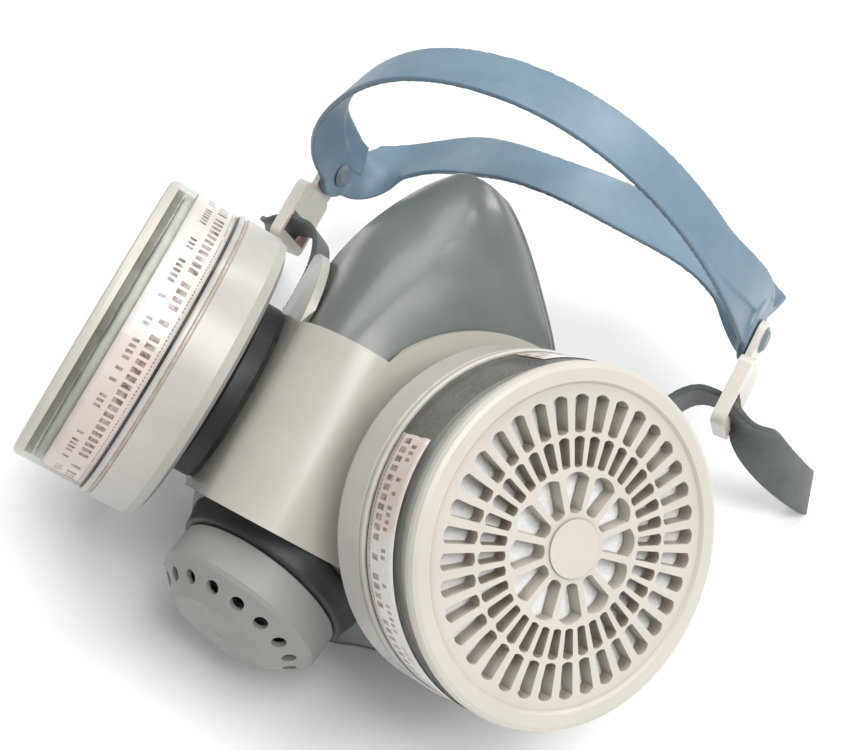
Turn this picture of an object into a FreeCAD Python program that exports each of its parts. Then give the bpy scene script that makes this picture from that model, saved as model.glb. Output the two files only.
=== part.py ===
import FreeCAD, Part
import math
import os

# Half-mask respirator with twin round cartridges, one-piece head cradle and two straps.
# Everything is first built in the wearer's frame: +X the wearer's left, -Y forward, +Z up,
# origin midway between the two cartridge front faces. The finished shapes are then leaned
# back about X, as the mask lies on a table on its chin and strap tails, and moved so that
# the origin is the bottom centre of the whole. Lengths are millimetres, angles degrees.

V = FreeCAD.Vector

# ---- driving dimensions ---------------------------------------------------------------
LEAN = 60.0                # backward lean of the resting mask

# cartridges: w is measured along the cartridge axis from the flat rear face, outwards
SPLAY = 52.7               # angle between each cartridge axis and straight ahead
FRONT_X = 79.7             # half distance between the two front face centres
CART_LEN = 39.3
CART_R = 45.9              # clear window and front rim
BASE_R = 46.9              # opaque rear body
BASE_LEN = 17.3
BASE_WALL = 2.6
WINDOW_FOOT = 12.0         # where the clear window starts, inside the rear body
WINDOW_WALL = 1.8
WINDOW_TOP = 36.3
LABEL_THICK = 0.25
LABEL_FROM, LABEL_TO = 18.2, 30.8
LABEL_GAP = 46.0           # degrees of the window left bare
LABEL_TURN = {1: 38.0, -1: 150.0}   # where each cartridge stopped turning, from straight up
GRILLE_BACK, GRILLE_FRONT = 34.2, 38.4
GRILLE_RIM_IN = 40.5
HUB_R = 7.4
# slot rings: count, inner radius, outer radius, width at the inner and outer end
SLOT_RINGS = ((12, 9.2, 17.2, 3.2, 7.2), (36, 20.4, 27.0, 2.3, 3.1), (36, 29.0, 37.0, 3.1, 4.1))

# thread between cartridge and mask, shown as plain running surfaces
PORT_R = 16.5
PORT_BORE = 13.2
PORT_TOP = 5.5
THREAD_CLEAR = 0.08
SOCKET_WALL = 2.4
GASKET_R = 28.5
GASKET_IN = 22.0
WASHER_R = 21.5
WASHER_THICK = 1.4

# mask body
YOKE_W = -9.0              # front face of the yoke wings, behind the cartridge rear face
YOKE_THICK = 2.5
YOKE_BEND_X = 14.5         # where the rounded front panel meets the flat wings
YOKE_TOP, YOKE_BOTTOM = 22.0, -31.0
WING_R = 49.3
WING_BACK_R = 30.0
SKIN_GAP = 0.15
CUP_WALL = 3.0

# exhalation valve: t is measured along its axis from the cover's back edge, outwards
VALVE_TILT = 21.0
VALVE_Y, VALVE_Z = 20.2, -45.0
COVER_R = 24.8
COVER_SIDE = 10.4
COVER_LEN = 17.4
COVER_FACE_R = 16.1
COVER_WALL = 1.6
COVER_HOLES = 16
COVER_HOLE_R = 2.0
COLLAR_TOP = -8.2

# harness
BAND_WIDE, BAND_THICK = 18.0, 1.8
REAR_FLARE = 7.0           # extra width of the rear band near its ends
BAND_LEAN = 27.0           # how far the top edge of each band leans back
STRAP_WIDE, STRAP_THICK = 15.0, 2.0
STUD_X, STUD_Y, STUD_Z = 80.0, 81.0, 93.0
STUD_R = 2.2
CRADLE_HALF = 81.4         # the cradle stays inside this, clear of the buckle ears
BAR_X, BAR_Y, BAR_Z = 84.0, 79.0, 67.5
BUCKLE_WIDE, BUCKLE_THICK = 20.0, 4.4
ANCHOR = V(58.0, 59.4, 5.0)      # on the stud axis, at the inner face of the strap

# ---- derived places -------------------------------------------------------------------
SIDES = {"left": 1, "right": -1}
splay = math.radians(SPLAY)
REAR_X = FRONT_X - CART_LEN * math.sin(splay)
REAR_Y = CART_LEN * math.cos(splay)
valve = math.radians(VALVE_TILT)
VALVE_AXIS = V(0, -math.sin(valve), -math.cos(valve))
WINDOW_IN = CART_R - WINDOW_WALL
SOCKET_R = PORT_R + THREAD_CLEAR
SPIDER_W = YOKE_W - YOKE_THICK - SKIN_GAP - CUP_WALL - 2.4
FLANGE_R = PORT_R + 2.2


# ---- small helpers --------------------------------------------------------------------
def frame(origin, z_axis, x_axis):
    return FreeCAD.Placement(origin, FreeCAD.Rotation(x_axis, V(), z_axis, "ZXY"))


def placed(shape, place):
    moved = shape.copy()
    moved.Placement = place.multiply(shape.Placement)
    return moved


def port_frame(side):
    """Cartridge axis frame: origin at the rear face centre, Z outwards, X towards the nose."""
    axis = V(side * math.sin(splay), -math.cos(splay), 0)
    return frame(V(side * REAR_X, REAR_Y, 0), axis, V(0, 0, 1))


def valve_frame():
    return frame(V(0, VALVE_Y, VALVE_Z), VALVE_AXIS, V(1, 0, 0))


def disc(radius, low, high):
    return Part.makeCylinder(radius, high - low, V(0, 0, low))


def ring(outer, inner, low, high):
    return disc(outer, low, high).cut(disc(inner, low - 1, high + 1))


def revolved(outline):
    """Solid of revolution about Z from (radius, height) corners."""
    wire = Part.makePolygon([V(r, 0, z) for r, z in outline + outline[:1]])
    return Part.Face(wire).revolve(V(), V(0, 0, 1), 360)


def wedge(r0, r1, wide0, wide1, low, high):
    """Radial slot cutter along +X, its two ends rounded."""
    bow = wide1 / 4
    a, b = V(r0, -wide0 / 2, low), V(r1, -wide1 / 2, low)
    c, d = V(r1, wide1 / 2, low), V(r0, wide0 / 2, low)
    edges = [Part.makeLine(a, b), Part.Arc(b, V(r1 + bow, 0, low), c).toShape(),
             Part.makeLine(c, d), Part.Arc(d, V(r0 - wide0 / 6, 0, low), a).toShape()]
    return Part.Face(Part.Wire(edges)).extrude(V(0, 0, high - low))


def around(shape, count):
    """Copies of a shape at equal turns about Z."""
    copies = []
    for index in range(count):
        copy = shape.copy()
        copy.rotate(V(), V(0, 0, 1), index * 360.0 / count)
        copies.append(copy)
    return copies


def mirrored(shape):
    return shape.mirror(V(), V(1, 0, 0))


# ---- cartridge ------------------------------------------------------------------------
def cartridge_base():
    floor = 2.2
    outline = [
        (SOCKET_R, 0), (BASE_R - 4.0, 0), (BASE_R - 1.2, 1.2), (BASE_R, 4.0),
        (BASE_R, 14.4), (BASE_R - 0.6, 14.8), (BASE_R - 0.6, 15.4), (BASE_R, 15.8),
        (BASE_R, 16.8), (BASE_R - 0.5, BASE_LEN), (CART_R + 0.02, BASE_LEN),
        (CART_R + 0.02, WINDOW_FOOT), (BASE_R - BASE_WALL, WINDOW_FOOT),
        (BASE_R - BASE_WALL, floor), (SOCKET_R + SOCKET_WALL, floor),
        (SOCKET_R + SOCKET_WALL, 6.6), (SOCKET_R, 6.6)]
    return revolved(outline)


def cartridge_window():
    return ring(CART_R, WINDOW_IN, WINDOW_FOOT, WINDOW_TOP)


def cartridge_label():
    """Printed band around the clear window, open over LABEL_GAP."""
    band = ring(CART_R + LABEL_THICK, CART_R, LABEL_FROM, LABEL_TO)
    gap = Part.makeCylinder(BASE_R + 5, LABEL_TO, V(), V(0, 0, 1), LABEL_GAP)
    return band.cut(gap)


def front_grille():
    top = CART_LEN
    rim = revolved([(GRILLE_RIM_IN, GRILLE_FRONT), (GRILLE_RIM_IN + 0.7, top),
                    (CART_R - 1.6, top), (CART_R - 0.5, top - 0.5), (CART_R, top - 1.6),
                    (CART_R, WINDOW_TOP), (WINDOW_IN - 0.1, WINDOW_TOP),
                    (WINDOW_IN - 0.1, GRILLE_BACK), (GRILLE_RIM_IN, GRILLE_BACK)])
    plate = disc(GRILLE_RIM_IN, GRILLE_BACK, GRILLE_FRONT)
    cutters = []
    for count, r0, r1, wide0, wide1 in SLOT_RINGS:
        slot = wedge(r0, r1, wide0, wide1, GRILLE_BACK - 1, GRILLE_FRONT + 1)
        cutters += around(slot, count)
    hub = disc(HUB_R, GRILLE_FRONT, GRILLE_FRONT + 0.5)
    return plate.cut(Part.makeCompound(cutters)).fuse([rim, hub]).removeSplitter()


def screen(radius, low, high, hole_r, rings):
    """Round retaining screen with rings of holes: rings holds (count, radius)."""
    holes = []
    for count, at in rings:
        hole = Part.makeCylinder(hole_r, high - low + 2, V(at, 0, low - 1))
        holes += around(hole, count)
    return disc(radius, low, high).cut(Part.makeCompound(holes))


def cartridge_parts():
    """Every piece of one cartridge in its own axis frame."""
    bed_r = WINDOW_IN - 0.2
    holes = ((8, 9.0), (16, 18.0), (24, 27.0), (32, 36.0))
    bed = disc(bed_r, WINDOW_FOOT + 0.1, 28.6)
    return {
        "cartridge_base": cartridge_base(),
        "cartridge_window": cartridge_window(),
        "cartridge_label": cartridge_label(),
        "front_grille": front_grille(),
        "prefilter_pad": disc(bed_r, 30.3, GRILLE_BACK - 0.1),
        "pad_screen": screen(bed_r, 28.7, 30.2, 2.2, holes),
        "charcoal_bed": bed,
        "rear_screen": screen(BASE_R - BASE_WALL - 0.1, 10.2, 11.8, 2.2, holes),
    }


# ---- inhalation port ------------------------------------------------------------------
def inhalation_seat():
    """Threaded spigot through the yoke wing and the mask wall, with a valve spider."""
    low = SPIDER_W
    spigot = ring(PORT_R, PORT_BORE, low, PORT_TOP)
    flange = ring(FLANGE_R, PORT_BORE, low, low + 2.0)
    spoke = Part.makeBox(PORT_BORE + 0.5, 1.6, 1.6, V(0, -0.8, low))
    spider = around(spoke, 6) + [disc(3.0, low, low + 1.6)]
    return spigot.fuse([flange] + spider).removeSplitter()


def inhalation_flap():
    return disc(PORT_BORE + 1.6, SPIDER_W - 0.9, SPIDER_W - 0.25)


def port_gasket():
    """Soft black boot between the yoke wing and the cartridge."""
    front = -WASHER_THICK - 0.1
    return revolved([(GASKET_IN, YOKE_W + 0.05), (GASKET_R - 0.6, YOKE_W + 0.05),
                     (GASKET_R, YOKE_W + 1.5), (GASKET_R, -2.4),
                     (GASKET_R - 0.9, front), (GASKET_IN, front)])


def sealing_washer():
    return ring(WASHER_R, SOCKET_R + 0.4, -WASHER_THICK, -0.02)


# ---- yoke -----------------------------------------------------------------------------
def yoke_wing(side, thick):
    """Flat flange behind one cartridge, rising to a tab on the nose side."""
    low, high = YOKE_W - thick, YOKE_W
    big = 2 * WING_R
    plate = disc(WING_R, low, high)
    inner = Part.makeBox(WING_R - YOKE_BOTTOM, big, big, V(YOKE_BOTTOM, 0, -WING_R))
    inner.translate(V(0, -2.0 if side > 0 else 2.0 - big, 0))
    bridge = Part.makeBox(YOKE_TOP - YOKE_BOTTOM, 25.0, thick, V(YOKE_BOTTOM, -25.0, low))
    bridge.translate(V(0, 55.0 if side > 0 else -30.0, 0))
    wing = plate.common(inner).fuse([disc(WING_BACK_R, low, high), bridge])
    wing = placed(wing.cut(disc(PORT_R + 0.05, low - 1, high + 1)), port_frame(side))
    keep = Part.makeBox(200, 200, 200, V(side * YOKE_BEND_X - (0 if side > 0 else 200), -100, -100))
    return wing.common(keep)


def panel_arc():
    """Radius and centre Y of the rounded front panel, tangent to both wings."""
    radius = YOKE_BEND_X / math.sin(splay)
    along = (YOKE_BEND_X - REAR_X - YOKE_W * math.sin(splay)) / math.cos(splay)
    y_meet = REAR_Y - YOKE_W * math.cos(splay) + along * math.sin(splay)
    centre = y_meet + radius * math.cos(splay)
    return radius, centre


def yoke_panel(thick):
    outer, centre = panel_arc()
    tube = ring(outer, outer - thick, YOKE_BOTTOM, YOKE_TOP)
    tube.translate(V(0, centre, 0))
    keep = Part.makeBox(2 * YOKE_BEND_X, 60, 80, V(-YOKE_BEND_X, centre - 60 - 2.0, -40))
    return tube.common(keep)


def front_yoke(thick=YOKE_THICK):
    body = yoke_panel(thick).fuse([yoke_wing(1, thick), yoke_wing(-1, thick)])
    return body.removeSplitter()


# ---- face piece -----------------------------------------------------------------------
# stations of the mask body: height, then half outline points (x, y) from front to rear
CUP_STATIONS = (
    (86.0, ((0, 14.0), (4.0, 15.2), (6.2, 17.5), (7.6, 20.5), (8.6, 25), (9.2, 34))),
    (82.0, ((0, 12.0), (7.5, 14.5), (10.6, 17.4), (12.8, 21.5), (14.2, 27), (15.0, 36))),
    (75.0, ((0, 8.5), (11.0, 12.0), (15.4, 16.0), (18.8, 21.5), (21.5, 29), (23.0, 40))),
    (63.0, ((0, 3.5), (14.5, 8.5), (21.5, 15.0), (27.5, 24.0), (31.5, 34), (33.5, 47))),
    (50.0, ((0, -2.0), (14.5, 3.5), (24.5, 14.5), (33.5, 26.5), (41.0, 42), (43.0, 57))),
    (36.0, ((0, -6.5), (13.0, -0.5), (26.0, 16.0), (38.0, 31.5), (48.0, 50), (51.0, 68))),
    (24.0, ((0, -9.8), (11.8, -4.0), (26.4, 15.6), (40.5, 34.2), (54.0, 57), (57.0, 78))),
    (-8.0, ((0, -9.8), (11.8, -4.0), (26.4, 15.6), (41.0, 34.8), (56.2, 62), (59.0, 82))),
    (-26.0, ((0, -9.8), (11.8, -4.0), (26.4, 15.6), (40.0, 33.6), (54.0, 59), (57.0, 78))),
    (-38.0, ((0, -9.0), (11.3, -3.0), (22.5, 12.5), (34.0, 29.0), (44.5, 52), (47.0, 72))),
    (-47.0, ((0, -6.0), (9.5, 0.0), (15.5, 10.0), (20.5, 22.0), (24.0, 46), (25.0, 70))),
    (-56.0, ((0, -2.0), (5.5, 3.0), (7.0, 10.0), (8.0, 20.0), (9.0, 44), (9.5, 70))),
)


def inset_outline(points, inset):
    """Half outline moved inwards along its own normals; its rear end also runs on."""
    full = [V(-points[1].x, points[1].y, 0)] + points
    moved = []
    for index, point in enumerate(points):
        ahead = full[min(index + 2, len(full) - 1)]
        along = (ahead - full[index]).normalize()
        moved.append(point + V(-along.y, along.x, 0) * inset)
    moved[0] = V(0, moved[0].y, 0)
    moved[-1] = moved[-1] + V(0, 4.0 if inset else 0, 0)
    return moved


def cup_wire(z, outline, inset):
    half = inset_outline([V(x, y, 0) for x, y in outline], inset)
    half = [V(p.x, p.y, z) for p in half]
    other = [V(-p.x, p.y, z) for p in reversed(half[1:])]
    curve = Part.BSplineCurve()
    curve.interpolate(other + half)
    line = Part.makeLine(half[-1], other[0])
    return Part.Wire([curve.toShape(), line])


def cup_loft(inset, drop):
    wires = [cup_wire(z - (drop if z > 0 else 0), outline, inset) for z, outline in CUP_STATIONS]
    return Part.makeLoft(wires, True)


def above_chin(depth):
    """Everything on the wearer's side of the slanted chin plane, depth mm above it."""
    block = Part.makeBox(300, 300, 300, V(-150, -150, -300))
    return placed(block, placed_chin(depth))


def placed_chin(depth):
    origin = V(0, VALVE_Y, VALVE_Z) + VALVE_AXIS * (COLLAR_TOP - depth)
    return frame(origin, VALVE_AXIS, V(1, 0, 0))


def rim_cutter():
    """Side outline of the face opening, swept across the mask: all behind it is removed."""
    rim = [V(-100, 19, 96), V(-100, 27.5, 75), V(-100, 36.5, 56), V(-100, 47, 38),
           V(-100, 60, 14), V(-100, 65, -8), V(-100, 65.5, -26), V(-100, 61.9, -44), V(-100, 60.8, -66)]
    curve = Part.BSplineCurve()
    curve.interpolate(rim)
    corners = [rim[-1], V(-100, 160, -66), V(-100, 160, 96), rim[0]]
    outline = Part.Wire([curve.toShape()] + Part.makePolygon(corners).Edges)
    return Part.Face(outline).extrude(V(200, 0, 0))


def facepiece_cup():
    shell = cup_loft(0, 0).common(above_chin(0))
    shell = shell.cut(cup_loft(CUP_WALL, CUP_WALL).common(above_chin(CUP_WALL)))
    shell = shell.cut(rim_cutter()).cut(front_yoke(YOKE_THICK + SKIN_GAP))
    for side in SIDES.values():
        shell = shell.cut(placed(disc(PORT_R + 0.05, -40, 20), port_frame(side)))
        shell = shell.cut(placed(disc(FLANGE_R + 0.1, -30, SPIDER_W + 2.02), port_frame(side)))
        hole = Part.makeCylinder(STUD_R, 20, V(side * ANCHOR.x, ANCHOR.y, ANCHOR.z), V(-side, 0, 0))
        shell = shell.cut(hole)
    shell = shell.cut(placed(disc(20.05, -25, 25), valve_frame()))
    return max(shell.Solids, key=lambda solid: solid.Volume)


# ---- exhalation valve -----------------------------------------------------------------
def chin_collar():
    """Black rubber collar between the chin of the mask and the valve cover."""
    return revolved([(20.1, COLLAR_TOP + 0.05), (26.8, COLLAR_TOP + 0.05), (27.0, -6.0),
                     (25.8, -0.25), (20.1, -0.25)])


def valve_seat():
    low = COLLAR_TOP - 4.0
    tube = ring(20.0, 17.4, low, 3.0)
    snap = ring(COVER_R - COVER_WALL - 0.1, 17.4, -0.2, 3.0)
    lip = ring(17.5, 15.2, -2.4, -0.9)
    spoke = Part.makeBox(16.5, 1.8, 1.4, V(0, -0.9, -2.4))
    spider = around(spoke, 4) + [disc(3.2, -2.4, -1.0)]
    return tube.fuse([snap, lip] + spider).removeSplitter()


def exhalation_flap():
    return disc(16.6, -0.6, 0.1)


def valve_cover():
    wall = COVER_WALL
    body = revolved([(0, COVER_LEN + 0.6), (8.0, COVER_LEN + 0.45), (COVER_FACE_R - 0.6, COVER_LEN),
                     (COVER_FACE_R + 0.5, COVER_LEN - 0.6), (COVER_R - 0.7, COVER_SIDE + 0.6),
                     (COVER_R, COVER_SIDE - 0.6), (COVER_R, 0.4), (COVER_R - 0.4, 0),
                     (COVER_R - wall, 0), (COVER_R - wall, COVER_SIDE - 1.2),
                     (COVER_FACE_R - 0.8, COVER_LEN - wall), (0, COVER_LEN + 0.6 - wall)])
    mid_r = (COVER_R + COVER_FACE_R) / 2
    mid_t = (COVER_SIDE + COVER_LEN) / 2
    slope = math.atan2(COVER_R - COVER_FACE_R, COVER_LEN - COVER_SIDE)
    out = V(math.cos(slope), 0, math.sin(slope))
    start = V(mid_r, 0, mid_t) - out * 5
    hole = Part.makeCylinder(COVER_HOLE_R, 10, start, out)
    return body.cut(Part.makeCompound(around(hole, COVER_HOLES)))


# ---- harness --------------------------------------------------------------------------
def smooth(points):
    curve = Part.BSplineCurve()
    curve.interpolate(points)
    return curve


def ribbon(curve, widths, thick, count, width_axis):
    """Flat band along a curve: width_axis(u) gives the width direction at fraction u."""
    wires = []
    first, last = curve.FirstParameter, curve.LastParameter
    for index in range(count + 1):
        u = index / count
        at = first + (last - first) * u
        centre = curve.value(at)
        along = V(*curve.tangent(at)[0])
        across = width_axis(u)
        across = (across - along * across.dot(along)).normalize()
        out = along.cross(across).normalize() * (thick / 2)
        half = across * (widths(u) / 2)
        corners = [centre + half + out, centre - half + out, centre - half - out, centre + half - out]
        wires.append(Part.makePolygon(corners + corners[:1]))
    return Part.makeLoft(wires, True, False)


def band_lean(u):
    lean = math.radians(BAND_LEAN)
    return V(0, math.sin(lean), math.cos(lean))


def band_width(u):
    end = min(u, 1 - u)
    return BAND_WIDE * (0.8 + 0.2 * min(1.0, end / 0.1))


def rear_band_width(u):
    """The rear band flares towards the sheet beside each ear."""
    end = min(u, 1 - u)
    flare = REAR_FLARE * max(0.0, 1.0 - abs(end - 0.17) / 0.28)
    return band_width(u) + flare


def band(half_points, widths=band_width):
    """Symmetric band over the head from its points on the +X side, middle first."""
    left = [V(*p) for p in half_points]
    points = [V(-p.x, p.y, p.z) for p in reversed(left[1:])] + left
    return ribbon(smooth(points), widths, BAND_THICK, 24, band_lean)


def cradle_side():
    """Left sheet that joins the two bands beside the head, before they part."""
    path = smooth([V(67, 38, 101), V(76, 56, 101.5), V(79.6, 74, 103.5), V(79.6, 83, 103.6),
                   V(78.2, 89, 104)])
    return ribbon(path, lambda u: 16.0 - 5.0 * u, BAND_THICK, 8, band_lean)


def head_cradle():
    front = band([(0, 2.5, 112), (28, 6.5, 110), (52, 21, 105.5), (71, 44, 98.5), (78.9, 70, 94.5),
                  (79.6, 83, 93.5)])
    rear = band([(0, 62, 113), (30, 77, 116.5), (54, 93.5, 117.5), (72, 97, 109), (79.0, 87, 98.5),
                 (79.6, 76, 92.5)], rear_band_width)
    side_sheet = cradle_side()
    tips = [side_sheet, mirrored(side_sheet)]
    for side in SIDES.values():
        centre = V(side * STUD_X - 1.2, STUD_Y - 1.5, STUD_Z + 1.5)
        tips.append(Part.makeCylinder(10.5, 2.4, centre, V(1, 0, 0)))
    body = front.fuse([rear] + tips)
    for side in SIDES.values():
        hole = Part.makeCylinder(STUD_R + 0.06, 12, V(side * STUD_X - 6, STUD_Y, STUD_Z), V(1, 0, 0))
        seat = Part.makeCylinder(6.4, 10, V(side * (STUD_X - 1.55), STUD_Y, STUD_Z), V(-side, 0, 0))
        body = body.cut(hole).cut(seat)
    room = Part.makeBox(2 * CRADLE_HALF, 200, 200, V(-CRADLE_HALF, -50, 0))
    return body.common(room).Solids[0]


def buckle():
    """Left buckle: a hook plate under the cradle tab and a slotted strap bar below."""
    face = BAR_X - BUCKLE_THICK / 2
    top, bottom = STUD_Z - 9.6, BAR_Z - 7.5
    half = BUCKLE_WIDE / 2
    plate = Part.makeBox(BUCKLE_THICK, BUCKLE_WIDE, top - bottom, V(face, BAR_Y - half, bottom))
    edges = [e for e in plate.Edges if abs(e.Vertexes[0].Point.x - e.Vertexes[1].Point.x) > 1]
    plate = plate.makeFillet(3.0, edges)
    slot_wide = STRAP_WIDE + 2.2
    slot = Part.makeBox(20, slot_wide, 8.0, V(face - 5, BAR_Y - slot_wide / 2, BAR_Z - 4.0))
    ear = Part.makeBox(2.2, 13.0, 18.0, V(CRADLE_HALF + 0.4, STUD_Y - 6.5, top - 3.0))
    edges = [e for e in ear.Edges if abs(e.Vertexes[0].Point.x - e.Vertexes[1].Point.x) > 1]
    ear = ear.makeFillet(5.0, edges)
    body = plate.cut(slot).fuse(ear)
    return body.cut(Part.makeCylinder(STUD_R, 12, V(STUD_X - 4, STUD_Y, STUD_Z), V(1, 0, 0)))


def snap_stud():
    """Left snap stud: shaft through the cradle tab, a head on each side."""
    shaft = Part.makeCylinder(STUD_R, 7.0, V(STUD_X - 2.6, STUD_Y, STUD_Z), V(1, 0, 0))
    inner = Part.makeCone(2.6, 4.2, 1.3, V(STUD_X - 3.2, STUD_Y, STUD_Z), V(1, 0, 0))
    outer = Part.makeCone(4.4, 3.0, 1.2, V(CRADLE_HALF + 2.62, STUD_Y, STUD_Z), V(1, 0, 0))
    return shaft.fuse([inner, outer]).removeSplitter()


def strap():
    """Left strap from its anchor on the mask, up through the buckle slot, to its free tail."""
    path = [ANCHOR + V(1.2, 0.5, -6), ANCHOR + V(1.2, 1.5, 4), V(60.5, 68, 28), V(64.5, 76, 51),
            V(71.5, 79.0, 66.5), V(BAR_X - 3.5, 79.0, BAR_Z + 1.6), V(BAR_X + 4.6, 79.5, BAR_Z - 1.2),
            V(98, 91, 62), V(107, 107, 61), V(112, 120, 62.5)]
    across = [V(0, 1, -0.1), V(0, 1, -0.25), V(0, 0.92, -0.38), V(0, 0.97, -0.25),
              V(0, 1, -0.05), V(0, 1, 0), V(0, 1, -0.05), V(-0.25, 0.5, -0.83), V(-0.05, 0, -1),
              V(0.1, -0.3, -0.95)]
    steps = len(path) - 1

    def turn(u):
        index = min(int(u * steps), steps - 1)
        part = u * steps - index
        return across[index] * (1 - part) + across[index + 1] * part

    def wide(u):
        return STRAP_WIDE * min(1.0, 0.54 + 0.46 * u * steps / 2.5)
    curve = Part.BSplineCurve()
    curve.interpolate(path, Parameters=[index / steps for index in range(steps + 1)])
    body = ribbon(curve, wide, STRAP_THICK, 27, turn)
    hole = Part.makeCylinder(STUD_R + 0.26, 12, ANCHOR + V(-6, 0, 0), V(1, 0, 0))
    return body.cut(hole)


def strap_anchor():
    """Left anchor stud: moulded into the side of the mask, its head outside the strap."""
    head = Part.makeCylinder(3.0, 1.4, ANCHOR + V(STRAP_THICK + 0.7, 0, 0), V(1, 0, 0))
    shaft = Part.makeCylinder(STUD_R, STRAP_THICK + 4.2, ANCHOR + V(-3.5, 0, 0), V(1, 0, 0))
    return head.fuse(shaft).removeSplitter()


# ---- assembly -------------------------------------------------------------------------
def worn_parts():
    """Every node's shape in the wearer's frame."""
    parts = {
        "facepiece_cup": facepiece_cup(),
        "front_yoke": front_yoke(),
        "chin_collar": placed(chin_collar(), valve_frame()),
        "valve_seat": placed(valve_seat(), valve_frame()),
        "exhalation_flap": placed(exhalation_flap(), valve_frame()),
        "valve_cover": placed(valve_cover(), valve_frame()),
        "head_cradle": head_cradle(),
    }
    per_port = dict(cartridge_parts())
    per_port["inhalation_seat"] = inhalation_seat()
    per_port["inhalation_flap"] = inhalation_flap()
    per_port["port_gasket"] = port_gasket()
    per_port["sealing_washer"] = sealing_washer()
    left_only = {"strap": strap(), "buckle": buckle(), "snap_stud": snap_stud(),
                 "strap_anchor": strap_anchor()}
    for name, side in SIDES.items():
        for piece, shape in per_port.items():
            turned = shape.copy()
            if piece == "cartridge_label":
                turned.rotate(V(), V(0, 0, 1), LABEL_TURN[side])
            parts[piece + "_" + name] = placed(turned, port_frame(side))
        for piece, shape in left_only.items():
            parts[piece + "_" + name] = shape if side > 0 else mirrored(shape)
    return parts


def rest_shift(parts):
    """Move that brings the leaned-back whole to its bottom centre origin."""
    box = FreeCAD.BoundBox()
    for shape in parts.values():
        shape.tessellate(0.02)
        box.add(shape.optimalBoundingBox(True, False))
    return V(-box.Center.x, -box.Center.y, -box.ZMin)


def leaned(shape):
    copy = shape.copy()
    copy.rotate(V(), V(1, 0, 0), -LEAN)
    return copy


def main():
    os.makedirs("parts", exist_ok=True)
    parts = {name: leaned(shape) for name, shape in worn_parts().items()}
    shift = rest_shift(parts)
    print("shift to the resting origin:", shift)
    for name, shape in parts.items():
        shape.translate(shift)
        if not shape.isValid() or shape.Volume <= 0:
            print("bad shape:", name)
        shape.exportStep("parts/" + name + ".step")


main()
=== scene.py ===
"""Looks of the half-mask respirator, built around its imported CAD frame."""
import math
import random

import bmesh
import bpy
import numpy as np
from mathutils import Matrix, Vector, noise


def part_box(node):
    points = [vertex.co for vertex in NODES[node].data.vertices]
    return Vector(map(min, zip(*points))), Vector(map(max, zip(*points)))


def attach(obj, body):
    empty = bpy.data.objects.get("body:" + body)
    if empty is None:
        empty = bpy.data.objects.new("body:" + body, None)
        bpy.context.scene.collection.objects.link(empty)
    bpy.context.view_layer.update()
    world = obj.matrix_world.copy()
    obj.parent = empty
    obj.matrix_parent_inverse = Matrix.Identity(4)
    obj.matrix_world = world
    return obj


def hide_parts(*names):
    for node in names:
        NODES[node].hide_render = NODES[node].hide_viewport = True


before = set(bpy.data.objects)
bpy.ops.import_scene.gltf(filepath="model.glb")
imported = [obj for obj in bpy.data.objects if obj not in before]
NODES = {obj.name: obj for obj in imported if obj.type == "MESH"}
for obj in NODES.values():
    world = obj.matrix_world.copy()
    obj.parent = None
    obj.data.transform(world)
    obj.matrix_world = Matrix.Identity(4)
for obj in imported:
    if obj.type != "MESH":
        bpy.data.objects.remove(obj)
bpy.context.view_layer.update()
SIDES = {"left": 1, "right": -1}
MM = 0.001

# ---- frames, in mm: the wearer's frame, the two ports and the valve ----------------------
LEAN = math.radians(60.0)          # the mask lies this far back from upright
SPLAY = math.radians(52.7)         # port axes, outwards from straight ahead
VALVE_TILT = math.radians(21.0)    # valve axis, forwards from straight down
VALVE_MIDDLE = Vector((0, 20.2, -45.0))
CART_LEN = 39.3                    # yoke port to cartridge front
FRONT_X = 79.7                     # middle of a cartridge front, sideways
FLAP_W = -17.625                   # middle of the inhalation flap along its port axis


def port_axis(side):
    return Vector((side * math.sin(SPLAY), -math.cos(SPLAY), 0))


def port_origin(side):
    return Vector((side * (FRONT_X - CART_LEN * math.sin(SPLAY)),
                   CART_LEN * math.cos(SPLAY), 0))


def columns(x, y, z, origin):
    return Matrix(((x.x, y.x, z.x, origin.x), (x.y, y.y, z.y, origin.y),
                   (x.z, y.z, z.z, origin.z), (0, 0, 0, 1)))


def axes_matrix(origin, z_axis, x_axis):
    z = z_axis.normalized()
    x = (x_axis - z * x_axis.dot(z)).normalized()
    return columns(x, z.cross(x), z, origin)


def worn_matrix():
    """Wearer's frame in mm to the row frame in metres."""
    tilt = Matrix.Rotation(-LEAN, 4, "X")
    low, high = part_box("inhalation_flap_left")
    seen = (Vector(low) + Vector(high)) / 2
    flap = port_origin(1) + port_axis(1) * FLAP_W
    shift = seen - tilt @ (flap * MM)
    return Matrix.Translation(shift) @ tilt @ Matrix.Scale(MM, 4)


WORN = worn_matrix()
TO_WORN = WORN.inverted()
PORT = {s: WORN @ axes_matrix(port_origin(s), port_axis(s), Vector((0, 0, 1)))
        for s in SIDES.values()}
VALVE_AXIS = Vector((0, -math.sin(VALVE_TILT), -math.cos(VALVE_TILT)))
VALVE = WORN @ axes_matrix(VALVE_MIDDLE, VALVE_AXIS, Vector((1, 0, 0)))


# ---- material nodes ---------------------------------------------------------------------
def linear(value):
    """sRGB level of 0 to 255 as linear light."""
    c = value / 255
    return c / 12.92 if c <= 0.04045 else ((c + 0.055) / 1.055) ** 2.4


def rgb(r, g, b):
    return (linear(r), linear(g), linear(b), 1.0)


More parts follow.
